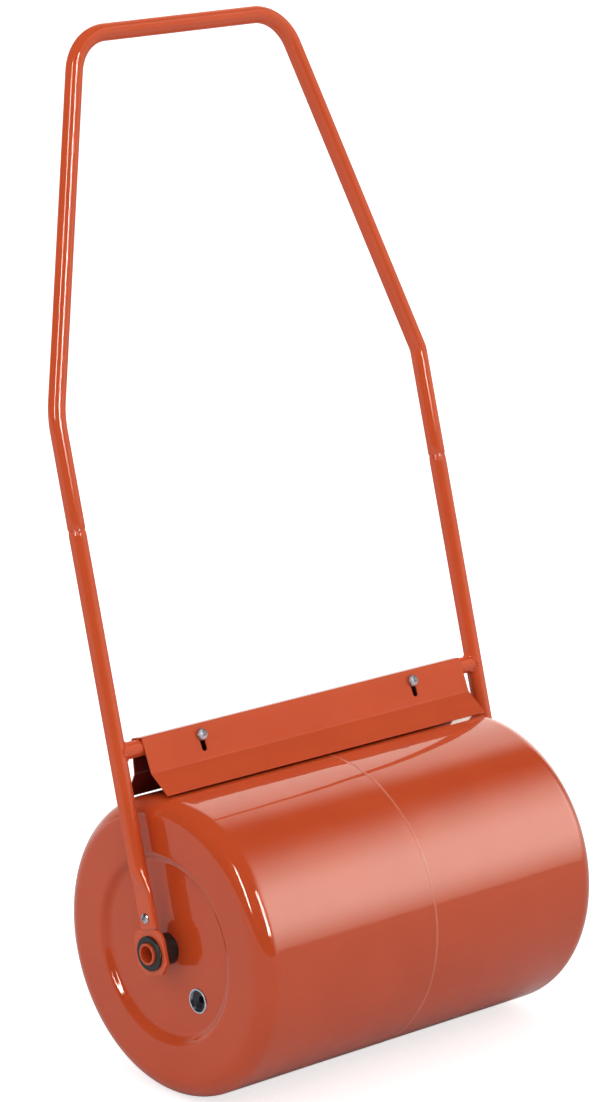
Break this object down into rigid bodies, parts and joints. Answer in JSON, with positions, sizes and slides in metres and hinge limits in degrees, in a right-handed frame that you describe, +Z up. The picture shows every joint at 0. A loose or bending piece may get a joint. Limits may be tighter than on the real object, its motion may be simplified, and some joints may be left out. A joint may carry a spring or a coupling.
{
  "type": "lawn roller",
  "caption": "Walk-behind lawn roller: a fillable steel drum that turns between tube legs under a folded, sliding scraper, with a plugged-on loop handle.",
  "frame": {"origin": "centre of the axle tube's bore, at the middle of the drum", "axes": "+X along the axle towards the end without the filler, +Y the side the handle leans towards, +Z up"},
  "size_m": [0.528, 0.4134, 1.0814],
  "materials": {
    "paint": "gloss enamel",
    "frame_paint": "gloss enamel",
    "zinc": "bright zinc plate",
    "bush": "moulded",
    "plug": "moulded",
    "seal": "moulded"
  },
  "bodies": {
    "frame": {"leg_left": "frame_paint", "leg_right": "frame_paint", "cross_tube": "frame_paint", "cross_tube_welds": "frame_paint", "handle_tube": "frame_paint", "side_plate_left": "frame_paint", "side_plate_right": "frame_paint", "plate_screws": "zinc", "plate_nuts": "zinc", "bush_left": "bush", "bush_right": "bush", "spacer_left": "bush", "spacer_right": "bush", "scraper_bolts": "zinc", "scraper_washers": "zinc"},
    "drum": {"drum_shell_left": "paint", "drum_shell_right": "paint", "drum_seam_weld": "paint", "axle_tube": "paint", "axle_welds": "paint", "filler_neck": "zinc"},
    "scraper": {"scraper": "frame_paint"},
    "seal": {"plug_seal": "seal"},
    "plug": {"filler_plug": "plug"}
  },
  "joints": [
    {"name": "drum_spin", "type": "hinge", "parent": "frame", "child": "drum", "pos_m": [0, 0, 0], "axis": [1, 0, 0], "continuous": true},
    {"name": "scraper_slide", "type": "slide", "parent": "frame", "child": "scraper", "axis": [0, 0.4019, 0.9157], "range_m": [0, 0.014]},
    {"name": "seal_rise", "type": "slide", "parent": "drum", "child": "seal", "axis": [-1, 0, 0], "range_m": [0, 0.0101]},
    {"name": "plug_turn", "type": "hinge", "parent": "seal", "child": "plug", "pos_m": [-0.231, -0.04676, -0.04515], "axis": [-1, 0, 0], "range_deg": [0, 1440]}
  ],
  "couplings": [
    {"joint": "seal_rise", "follows": "plug_turn", "m_per_rad": 0.00039789}
  ]
}
